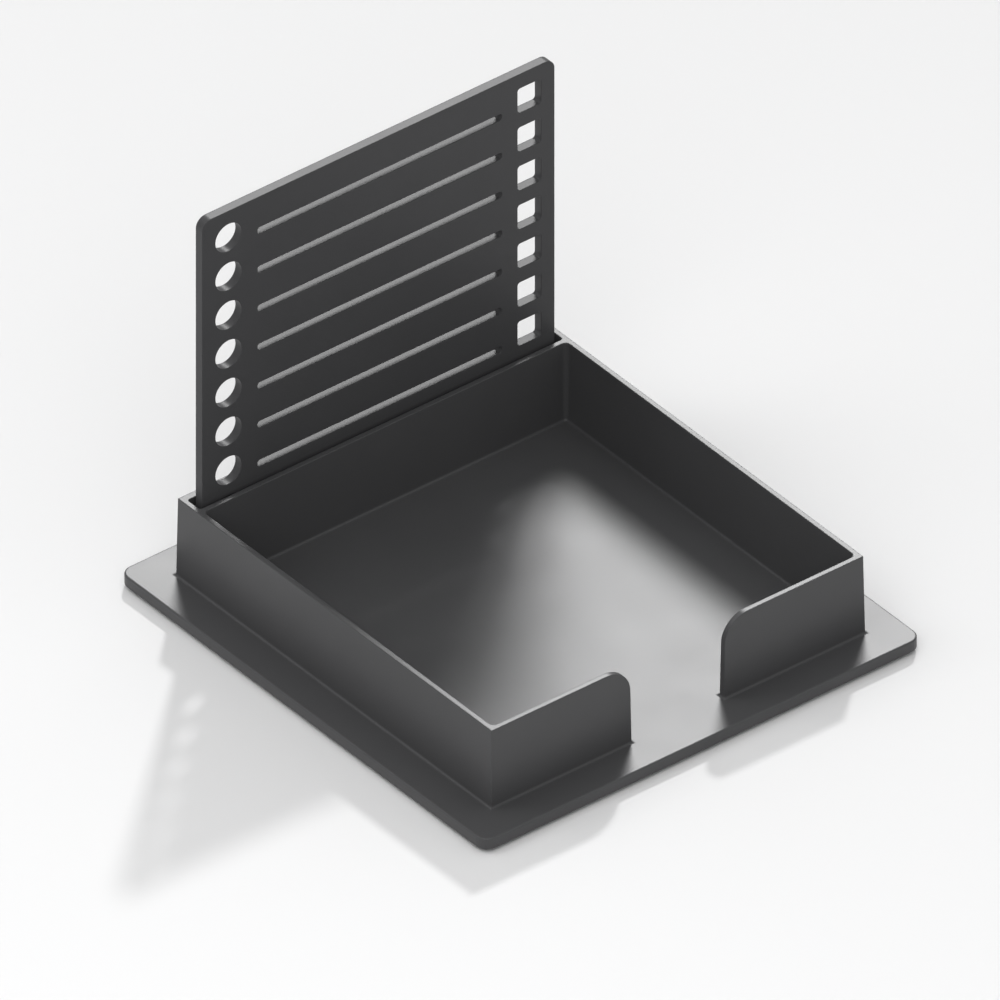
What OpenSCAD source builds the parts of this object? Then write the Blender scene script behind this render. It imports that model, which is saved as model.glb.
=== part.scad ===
// Sticky note tray on a base plate, with a lift-out drawing stencil and rubber feet.
// X runs across the front, Y towards the rear and Z up. The origin lies on the desk,
// below the middle of the base plate.

/* [Notes] */
// Side of the square notes, which is also the side of the stencil
note_side = 76; // [50:0.5:110]
// Gap between the notes and each wall, at the wall feet
note_play = 0.9; // [0.6:0.1:3]

/* [Tray walls] */
// Height of the walls above the base plate
wall_height = 16; // [10:0.1:40]
// Thickness of each wall but the rearmost, at its top
wall_thickness = 1; // [1:0.1:3]
// Thickness of the rearmost wall, at its top
rear_thickness = 1.4; // [1:0.1:3]
// Slope of every wall face in degrees, which thickens the walls downwards
draft = 0.8; // [0:0.1:1.5]
// Rounding along the wall tops
top_round = 0.1; // [0.05:0.05:0.25]
// Rounding of the upright outer edges
edge_round = 0.1; // [0.05:0.05:0.45]
// Radius of the upright inner corners of the notes bay
bay_round = 1; // [0.7:0.1:3]
// Radius of the upright inner corners of the stencil slot
slot_round = 0.5; // [0.4:0.1:0.9]
// Fillet where a wall meets the base plate
foot_fillet = 0.45; // [0.2:0.05:0.5]

/* [Finger gap] */
// Width of the gap in the front wall, at the top of its straight sides
gap_width = 20.5; // [12:0.1:30]
// Radius of the wall corners beside the gap
gap_round = 5; // [2:0.5:8]

/* [Base plate] */
// Thickness of the base plate
plate_thickness = 2.3; // [1.8:0.1:5]
// Width of the flange outside the wall feet
flange = 6.9; // [4:0.1:20]
// Radius of the plate's corners
plate_round = 2.4; // [1:0.1:10]
// Rounding of the plate's upper edge
rim_round = 0.3; // [0.1:0.05:0.8]
// Rounding of the plate's lower edge
lower_round = 0.3; // [0.1:0.05:0.8]

/* [Stencil slot] */
// Gap between the stencil and each of the two rear walls, at the wall feet
slot_play = 0.6; // [0.5:0.1:2]
// Depth by which the stencil stands in a groove of the base plate
groove_depth = 1.2; // [0.5:0.1:1.3]
// Play between the stencil and each side of the groove
groove_play = 0.3; // [0.1:0.05:0.4]
// Running gap under the stencil
seat_gap = 0.1; // [0.05:0.05:0.3]

/* [Stencil] */
// Thickness of the stencil
stencil_thickness = 1.75; // [1:0.05:2]
// Radius of the stencil's corners
stencil_round = 2; // [0.5:0.1:5]
// Distance from one row of cut-outs to the next
row_pitch = 8.11; // [7:0.01:14]
// Least margin above the top row and below the bottom row
end_margin = 2.6; // [2:0.1:6]
// Margin beside the circles and beside the squares
side_margin = 2.85; // [2:0.05:6]
// Web between a line and the circle or square next to it
web = 3.4; // [1.5:0.1:6]
// Diameter of the circles
circle_diameter = 5.7; // [3:0.05:6]
// Side of the squares
square_side = 5.1; // [3:0.1:6]
// Corner radius of the squares
square_round = 0.6; // [0.2:0.1:1.2]
// Height of the line slots
line_height = 1.4; // [0.8:0.1:2.5]
// Distance of each line below the middle of its row
line_drop = 1.55; // [0:0.05:1.7]
// Corner radius of the line slots
line_round = 0.5; // [0.1:0.05:0.6]

/* [Feet] */
// Diameter of each rubber foot
foot_diameter = 8; // [5:0.5:12]
// Height of each rubber foot
foot_height = 0.6; // [0.5:0.1:5]
// Rounding of a foot's lower edge
foot_round = 0.3; // [0.1:0.05:0.4]
// Distance from the plate's edges to each foot
foot_inset = 5; // [3:0.5:10]

/* [Hidden] */

// Spread of a wall face at its foot, from the draft
foot_spread = wall_height * tan(draft);
// Clear width of the notes bay and of the stencil slot, at the wall tops
bay_side = note_side + 2 * (note_play + foot_spread);
slot_width = stencil_thickness + 2 * (slot_play + foot_spread);
// Outside of the four walls at their tops
tray_width = bay_side + 2 * wall_thickness;
tray_depth = bay_side + slot_width + 2 * wall_thickness + rear_thickness;
// Base plate
plate_width = tray_width + 2 * (foot_spread + flange);
plate_depth = tray_depth + 2 * (foot_spread + flange);
plate_top = foot_height + plate_thickness;
// Wall faces at the wall tops, from the front to the rear
left_out = -tray_width / 2;
left_in = left_out + wall_thickness;
right_in = -left_in;
right_out = -left_out;
front_out = -tray_depth / 2;
bay_front = front_out + wall_thickness;
bay_rear = bay_front + bay_side;
slot_front = bay_rear + wall_thickness;
slot_rear = slot_front + slot_width;
rear_out = slot_rear + rear_thickness;
slot_middle = (slot_front + slot_rear) / 2;
// The walls reach this far into the base plate, so that they fuse with it
root = plate_thickness / 2;
// Steps of an arc at a rounded corner, along a fillet and beside the finger gap
corner_steps = 4;
plate_steps = 6;
fillet_steps = 3;
gap_steps = 12;
// Stencil
stencil_foot = plate_top - groove_depth;
stencil_head = stencil_foot + note_side;
row_count = 1 + floor((note_side - 2 * end_margin - circle_diameter) / row_pitch);
first_row = (stencil_foot + stencil_head + (row_count - 1) * row_pitch) / 2;
circle_middle = -note_side / 2 + side_margin + circle_diameter / 2;
square_middle = note_side / 2 - side_margin - square_side / 2;
line_start = circle_middle + circle_diameter / 2 + web;
line_end = square_middle - square_side / 2 - web;
// Corner radius of the lines, which at most nearly halves their height
line_bend = min(line_round, 0.45 * line_height);
// How far a cutting solid runs past a face
cut = 1;
// Least radius left of an upright corner where the wall faces move past its centre
least_round = 0.05;
$fn = 64;

// Heights above the plate of the steps along the foot fillet, along the large
// rounded corners beside the finger gap and along the rounded wall tops
foot_heights = [for (i = [0:fillet_steps]) foot_fillet * (1 - cos(90 * i / fillet_steps))];
gap_heights = [
    for (i = [0:gap_steps])
        let (drop = gap_round * (1 - sin(90 * i / gap_steps)))
        if (drop > top_round) wall_height - drop];
top_heights = [
    for (i = [0:fillet_steps]) wall_height - top_round * (1 - sin(90 * i / fillet_steps))];

// Depth of a convex rounding of radius r, at distance d below the edge's top
function rounding(r, d) = d < r ? r - sqrt(r * r - pow(r - max(d, 0), 2)) : 0;

// How far a wall face stands out at height h, measured from its place at the top
function spread(h) =
    (wall_height - max(h, 0)) * tan(draft)
    + rounding(foot_fillet, max(h, 0))
    - rounding(top_round, wall_height - h);

// Arc of points about x, y that starts at angle a and turns by turn
function arc(x, y, r, a, turn, steps) = [
    for (i = [0:steps]) [x + r * cos(a + turn * i / steps), y + r * sin(a + turn * i / steps)]];

// Outline of a rounded rectangle
function rounded_box(x0, x1, y0, y1, r, steps) = concat(
    arc(x1 - r, y0 + r, r, 270, 90, steps),
    arc(x1 - r, y1 - r, r, 0, 90, steps),
    arc(x0 + r, y1 - r, r, 90, 90, steps),
    arc(x0 + r, y0 + r, r, 180, 90, steps));

// Outline of the walls at height h: round the outside from the right of the finger
// gap to its left, then back along the inside of the notes bay
function wall_outline(h) =
    let (s = spread(h),
         outer = max(edge_round + min(s, 0), least_round),
         inner = max(bay_round - s, least_round),
         gap_side = gap_width / 2 + rounding(gap_round, wall_height - h) - s + outer,
         side = right_out + s - outer,
         front = front_out - s + outer,
         rear = rear_out + s - outer,
         stub_back = bay_front + s - outer,
         bay_x = right_in - s - inner,
         bay_y0 = bay_front + s + inner,
         bay_y1 = bay_rear - s - inner)
    concat(
        arc(gap_side, front, outer, 180, 90, corner_steps),
        arc(side, front, outer, 270, 90, corner_steps),
        arc(side, rear, outer, 0, 90, corner_steps),
        arc(-side, rear, outer, 90, 90, corner_steps),
        arc(-side, front, outer, 180, 90, corner_steps),
        arc(-gap_side, front, outer, 270, 90, corner_steps),
        arc(-gap_side, stub_back, outer, 0, 90, corner_steps),
        arc(-bay_x, bay_y0, inner, 270, -90, corner_steps),
        arc(-bay_x, bay_y1, inner, 180, -90, corner_steps),
        arc(bay_x, bay_y1, inner, 90, -90, corner_steps),
        arc(bay_x, bay_y0, inner, 0, -90, corner_steps),
        arc(gap_side, stub_back, outer, 90, 90, corner_steps));

// Outline of the stencil slot at height h
function slot_outline(h) =
    let (s = spread(h))
    rounded_box(left_in + s, right_in - s, slot_front + s, slot_rear - s,
                max(slot_round - s, least_round), corner_steps);

// Outline of the base plate at height h above its underside
function plate_outline(h) =
    let (s = rounding(rim_round, plate_thickness - h) + rounding(lower_round, h),
         x = plate_width / 2 - s,
         y = plate_depth / 2 - s)
    rounded_box(-x, x, -y, y, plate_round - s, plate_steps);

// An outline raised to height z
function ring(outline, z) = [for (p = outline) [p[0], p[1], z]];

// Closed solid through a stack of rings. Each end is a strip between the first and
// the second half of its ring.
module skin(rings) {
    n = len(rings[0]);
    last = (len(rings) - 1) * n;
    strip = [for (i = [0:n / 2 - 2]) each [[i, i + 1, n - 2 - i], [i, n - 2 - i, n - 1 - i]]];
    lid = [for (t = strip) [last + t[2], last + t[1], last + t[0]]];
    sides = [
        for (k = [0:len(rings) - 2], i = [0:n - 1])
            let (a = k * n + i, b = k * n + (i + 1) % n)
            each [[a, a + n, b + n], [a, b + n, b]]];
    polyhedron(points = [for (r = rings) each r], faces = concat(strip, lid, sides));
}

// Base plate with rounded upper and lower edges
module base_plate() {
    heights = concat(
        [for (i = [0:fillet_steps]) lower_round * (1 - cos(90 * i / fillet_steps))],
        [for (i = [0:fillet_steps])
            plate_thickness - rim_round * (1 - sin(90 * i / fillet_steps))]);
    skin([for (h = heights) ring(plate_outline(h), foot_height + h)]);
}

module walls() {
    skin([for (h = concat([-root], foot_heights, gap_heights, top_heights))
        ring(wall_outline(h), plate_top + h)]);
}

// Space between the two rear walls
module slot() {
    skin([for (h = concat([-root - cut], foot_heights, top_heights, [wall_height + cut]))
        ring(slot_outline(h), plate_top + h)]);
}

module note_tray() {
    color("#4b4b4c") difference() {
        union() {
            base_plate();
            difference() {
                walls();
                slot();
            }
        }
        groove();
    }
}

// Groove in the base plate that the stencil stands in
module groove() {
    length = note_side + 2 * groove_play;
    width = stencil_thickness + 2 * groove_play;
    translate([-length / 2, slot_middle - width / 2, stencil_foot - seat_gap])
        cube([length, width, groove_depth + seat_gap + cut]);
}

// Rounded rectangular bar along Y, centred on x and z
module bar(width, height, r, x, z, depth) {
    translate([x, slot_middle + depth / 2, z]) rotate([90, 0, 0]) linear_extrude(depth) {
        square([width - 2 * r, height], center = true);
        square([width, height - 2 * r], center = true);
        for (i = [-1, 1], j = [-1, 1])
            translate([i * (width / 2 - r), j * (height / 2 - r)]) circle(r);
    }
}

// Circle, writing line and square of one row
module row_cutouts(z) {
    depth = stencil_thickness + 2 * cut;
    translate([circle_middle, slot_middle + depth / 2, z]) rotate([90, 0, 0])
        cylinder(h = depth, d = circle_diameter);
    bar(line_end - line_start, line_height, line_bend,
        (line_start + line_end) / 2, z - line_drop, depth);
    bar(square_side, square_side, square_round, square_middle, z, depth);
}

module drawing_stencil() {
    color("#474748") difference() {
        bar(note_side, note_side, stencil_round, 0, (stencil_foot + stencil_head) / 2,
            stencil_thickness);
        for (i = [0:row_count - 1]) row_cutouts(first_row - i * row_pitch);
    }
}

// Self-adhesive foot under the corner of the plate towards dx and dy
module rubber_foot(dx, dy) {
    r = foot_diameter / 2;
    x = plate_width / 2 - foot_inset - r;
    y = plate_depth / 2 - foot_inset - r;
    color("#303030") translate([dx * x, dy * y, 0]) rotate_extrude() {
        square([r - foot_round, foot_height]);
        translate([0, foot_round]) square([r, foot_height - foot_round]);
        intersection() {
            translate([r - foot_round, foot_round]) circle(foot_round);
            square([r, foot_height]);
        }
    }
}

note_tray();
drawing_stencil();
rubber_foot(-1, -1);  // foot_front_left
rubber_foot(1, -1);  // foot_front_right
rubber_foot(-1, 1);  // foot_rear_left
rubber_foot(1, 1);  // foot_rear_right
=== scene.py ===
"""Looks of the sticky note tray: materials, desk, lamps and camera."""

import math

import bpy
from mathutils import Matrix, Vector


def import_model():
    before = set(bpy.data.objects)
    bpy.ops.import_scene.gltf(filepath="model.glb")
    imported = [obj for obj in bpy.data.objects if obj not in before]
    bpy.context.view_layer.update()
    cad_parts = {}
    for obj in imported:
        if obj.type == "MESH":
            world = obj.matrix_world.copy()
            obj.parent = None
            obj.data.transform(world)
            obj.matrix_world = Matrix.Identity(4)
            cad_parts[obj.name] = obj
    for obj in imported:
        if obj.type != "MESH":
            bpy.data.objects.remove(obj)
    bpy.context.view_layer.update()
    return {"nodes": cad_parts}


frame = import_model()

MM = 0.001

# Camera: parallel projection, level, along the photograph's line of sight
VIEW_RIGHT = Vector((0.7823, -0.6229, 0.0))
VIEW_UP = Vector((0.3677, 0.4618, 0.8072))
VIEW_BACK = Vector((-0.5028, -0.6315, 0.5903))
FRAME_CENTRE = Vector((-24.708, -25.434, 50.415)) * MM
FRAME_WIDTH = 168.80 * MM
CAMERA_DISTANCE = 0.9

# Point that every lamp faces
LAMP_AIM = Vector((0.0, 0.0, 0.02))

# Soft box behind the tray on the right, which the horizontal faces mirror into the camera
BOX_DIRECTION = Vector((0.52, 0.59, 0.62)).normalized()
BOX_DISTANCE = 2.0
BOX_SIZE = 0.8
BOX_POWER = 41.0

# Distant key lamp that draws the clear shadow on the desk
KEY_DIRECTION = Vector((0.836, 0.772, 1.0)).normalized()
KEY_ANGLE = math.radians(3.5)
KEY_STRENGTH = 1.4

# Fill lamp behind the tray on the left
FILL_DIRECTION = Vector((-0.492, 0.413, 0.766)).normalized()
FILL_DISTANCE = 1.0
FILL_SIZE = 0.45
FILL_POWER = 1.3

# Wide lamp above the tray
TOP_DIRECTION = Vector((0.12, 0.1, 1.0)).normalized()
TOP_DISTANCE = 1.0
TOP_SIZE = 0.6
TOP_POWER = 0.95

# Front lamp beside the camera
FRONT_DIRECTION = Vector((-0.525, -0.473, 0.707)).normalized()
FRONT_DISTANCE = 0.6
FRONT_SIZE = 0.5
FRONT_POWER = 0.88

# White light from all around
WORLD_COLOUR = (1.0, 1.0, 1.0)
WORLD_STRENGTH = 0.57

# Desk: a square just below the pads
DESK_SIZE = 6.0
DESK_COLOUR = (0.8, 0.8, 0.802)
DESK_GAP = 0.00002

# Satin plastic of the tray and of the stencil
TRAY_COLOUR = (0.071, 0.071, 0.073)
TRAY_MIRROR = 0.23
TRAY_ROUGHNESS = 0.36
STENCIL_COLOUR = (0.063, 0.063, 0.065)
STENCIL_MIRROR = 0.11
STENCIL_ROUGHNESS = 0.38
PLASTIC_GRAIN = 0.15
PLASTIC_SPREAD = 0.03

# Matt rubber of the pads
RUBBER_COLOUR = (0.03, 0.03, 0.03)
RUBBER_MIRROR = 0.3
RUBBER_ROUGHNESS = 0.7
RUBBER_GRAIN = 0.4
RUBBER_SPREAD = 0.05
PADS = ["foot_front_left", "foot_front_right", "foot_rear_left", "foot_rear_right"]

# What all three materials share: cloudiness in tone and gloss, fine grain, rounded edges
IOR = 1.5
CLOUD_SCALE = 90.0
CLOUD_DETAIL = 4.0
CLOUD_ROUGHNESS = 0.6
DARKEST_TONE = 0.93
LIGHTEST_TONE = 1.07
GRAIN_SCALE = 2600.0
GRAIN_DETAIL = 2.0
GRAIN_ROUGHNESS = 0.5
GRAIN_HEIGHT = 0.00002
EDGE_RADIUS = 0.2 * MM
EDGE_SAMPLES = 8

# Sockets of the Mix node in its colour mode, where several share one name
MIX_FACTOR, MIX_FIRST_COLOUR, MIX_SECOND_COLOUR = 0, 6, 7
MIX_RESULT_COLOUR = 2


class Nodes:
    """A material's or world's node tree with short calls to add and join nodes."""

    def __init__(self, owner):
        owner.use_nodes = True
        self.tree = owner.node_tree
        self.tree.nodes.clear()

    def add(self, kind, **values):
        """A new node. Each value sets the input socket or the property of its name."""
        node = self.tree.nodes.new(kind)
        for name, value in values.items():
            socket = name.replace("_", " ")
            if socket in node.inputs:
                node.inputs[socket].default_value = value
            else:
                setattr(node, name, value)
        return node

    def join(self, source, target):
        self.tree.links.new(source, target)


def opaque(colour):
    return (*colour, 1.0)


def cloudy_tone(n, cloud, colour):
    """Colour that varies softly with the cloud noise."""
    tone = n.add("ShaderNodeMix", data_type="RGBA")
    darkest = opaque([c * DARKEST_TONE for c in colour])
    lightest = opaque([c * LIGHTEST_TONE for c in colour])
    tone.inputs[MIX_FIRST_COLOUR].default_value = darkest
    tone.inputs[MIX_SECOND_COLOUR].default_value = lightest
    n.join(cloud.outputs["Fac"], tone.inputs[MIX_FACTOR])
    return tone.outputs[MIX_RESULT_COLOUR]


def cloudy_gloss(n, cloud, roughness, spread):
    """Roughness that varies softly with the cloud noise."""
    gloss = n.add("ShaderNodeMapRange")
    gloss.inputs["To Min"].default_value = roughness - spread
    gloss.inputs["To Max"].default_value = roughness + spread
    n.join(cloud.outputs["Fac"], gloss.inputs["Value"])
    return gloss.outputs["Result"]


def grained_edges(n, place, grain):
    """Normal of a finely grained surface with slightly rounded edges."""
    fine = n.add(
        "ShaderNodeTexNoise",
        Scale=GRAIN_SCALE,
        Detail=GRAIN_DETAIL,
        Roughness=GRAIN_ROUGHNESS,
    )
    n.join(place.outputs["Object"], fine.inputs["Vector"])
    edge = n.add("ShaderNodeBevel", samples=EDGE_SAMPLES, Radius=EDGE_RADIUS)
    bump = n.add("ShaderNodeBump", Strength=grain, Distance=GRAIN_HEIGHT)
    n.join(fine.outputs["Fac"], bump.inputs["Height"])
    n.join(edge.outputs["Normal"], bump.inputs["Normal"])
    return bump.outputs["Normal"]


def moulded(name, colour, mirror, roughness, grain, spread):
    """Moulded plastic or rubber. Mirror is the strength of its reflections."""
    material = bpy.data.materials.new(name)
    n = Nodes(material)
    out = n.add("ShaderNodeOutputMaterial")
    shader = n.add("ShaderNodeBsdfPrincipled", IOR=IOR, Specular_IOR_Level=mirror)
    place = n.add("ShaderNodeTexCoord")
    n.join(shader.outputs["BSDF"], out.inputs["Surface"])

    cloud = n.add(
        "ShaderNodeTexNoise",
        Scale=CLOUD_SCALE,
        Detail=CLOUD_DETAIL,
        Roughness=CLOUD_ROUGHNESS,
    )
    n.join(place.outputs["Object"], cloud.inputs["Vector"])
    n.join(cloudy_tone(n, cloud, colour), shader.inputs["Base Color"])
    n.join(cloudy_gloss(n, cloud, roughness, spread), shader.inputs["Roughness"])
    n.join(grained_edges(n, place, grain), shader.inputs["Normal"])
    return material


def dress(material, names):
    """Puts the material on every slot of the named pieces."""
    for name in names:
        piece = frame["nodes"][name]
        for slot in piece.material_slots:
            slot.material = material


def dress_pieces():
    tray = moulded(
        "tray_plastic",
        TRAY_COLOUR,
        TRAY_MIRROR,
        TRAY_ROUGHNESS,
        PLASTIC_GRAIN,
        PLASTIC_SPREAD,
    )
    dress(tray, ["note_tray"])
    stencil = moulded(
        "stencil_plastic",
        STENCIL_COLOUR,
        STENCIL_MIRROR,
        STENCIL_ROUGHNESS,
        PLASTIC_GRAIN,
        PLASTIC_SPREAD,
    )
    dress(stencil, ["drawing_stencil"])
    rubber = moulded(
        "foot_rubber",
        RUBBER_COLOUR,
        RUBBER_MIRROR,
        RUBBER_ROUGHNESS,
        RUBBER_GRAIN,
        RUBBER_SPREAD,
    )
    dress(rubber, PADS)


def place_lamp(data, location, direction):
    """Lamp object at the location, which shines against the direction."""
    obj = bpy.data.objects.new(data.name, data)
    obj.location = location
    obj.rotation_euler = direction.to_track_quat("Z", "Y").to_euler()
    bpy.context.collection.objects.link(obj)
    return obj


def round_lamp(name, direction, distance, size, power):
    """Round soft lamp that faces the middle of the tray."""
    data = bpy.data.lights.new(name, "AREA")
    data.shape = "DISK"
    data.size = size
    data.energy = power
    return place_lamp(data, LAMP_AIM + direction * distance, direction)


def key_lamp():
    """Distant lamp that no face mirrors, because it would add a small hard highlight."""
    data = bpy.data.lights.new("key", "SUN")
    data.angle = KEY_ANGLE
    data.energy = KEY_STRENGTH
    obj = place_lamp(data, LAMP_AIM + KEY_DIRECTION, KEY_DIRECTION)
    obj.visible_glossy = False


def lamps():
    """All the lamps. Only reflections show the soft box."""
    soft_box = round_lamp("soft_box", BOX_DIRECTION, BOX_DISTANCE, BOX_SIZE, BOX_POWER)
    soft_box.visible_diffuse = False
    round_lamp("fill", FILL_DIRECTION, FILL_DISTANCE, FILL_SIZE, FILL_POWER)
    round_lamp("top", TOP_DIRECTION, TOP_DISTANCE, TOP_SIZE, TOP_POWER)
    round_lamp("front", FRONT_DIRECTION, FRONT_DISTANCE, FRONT_SIZE, FRONT_POWER)
    key_lamp()


def desk_paper():
    material = bpy.data.materials.new("desk_paper")
    n = Nodes(material)
    out = n.add("ShaderNodeOutputMaterial")
    paper = n.add("ShaderNodeBsdfDiffuse", Color=opaque(DESK_COLOUR))
    n.join(paper.outputs["BSDF"], out.inputs["Surface"])
    return material


def desk():
    half = DESK_SIZE / 2
    mesh = bpy.data.meshes.new("desk")
    corners = [(-half, -half, 0), (half, -half, 0), (half, half, 0), (-half, half, 0)]
    mesh.from_pydata(corners, [], [(0, 1, 2, 3)])
    obj = bpy.data.objects.new("desk", mesh)
    obj.location.z = -DESK_GAP
    bpy.context.collection.objects.link(obj)
    mesh.materials.append(desk_paper())


def world():
    sky = bpy.data.worlds.new("studio")
    bpy.context.scene.world = sky
    n = Nodes(sky)
    out = n.add("ShaderNodeOutputWorld")
    light = n.add(
        "ShaderNodeBackground", Color=opaque(WORLD_COLOUR), Strength=WORLD_STRENGTH
    )
    n.join(light.outputs["Background"], out.inputs["Surface"])


def camera():
    data = bpy.data.cameras.new("camera")
    data.type = "ORTHO"
    data.ortho_scale = FRAME_WIDTH
    obj = bpy.data.objects.new("camera", data)
    axes = Matrix((VIEW_RIGHT, VIEW_UP, VIEW_BACK)).transposed().to_4x4()
    place = Matrix.Translation(FRAME_CENTRE + VIEW_BACK * CAMERA_DISTANCE)
    obj.matrix_world = place @ axes
    bpy.context.collection.objects.link(obj)
    bpy.context.scene.camera = obj


dress_pieces()
lamps()
desk()
world()
camera()
bpy.context.scene.view_settings.view_transform = "Standard"
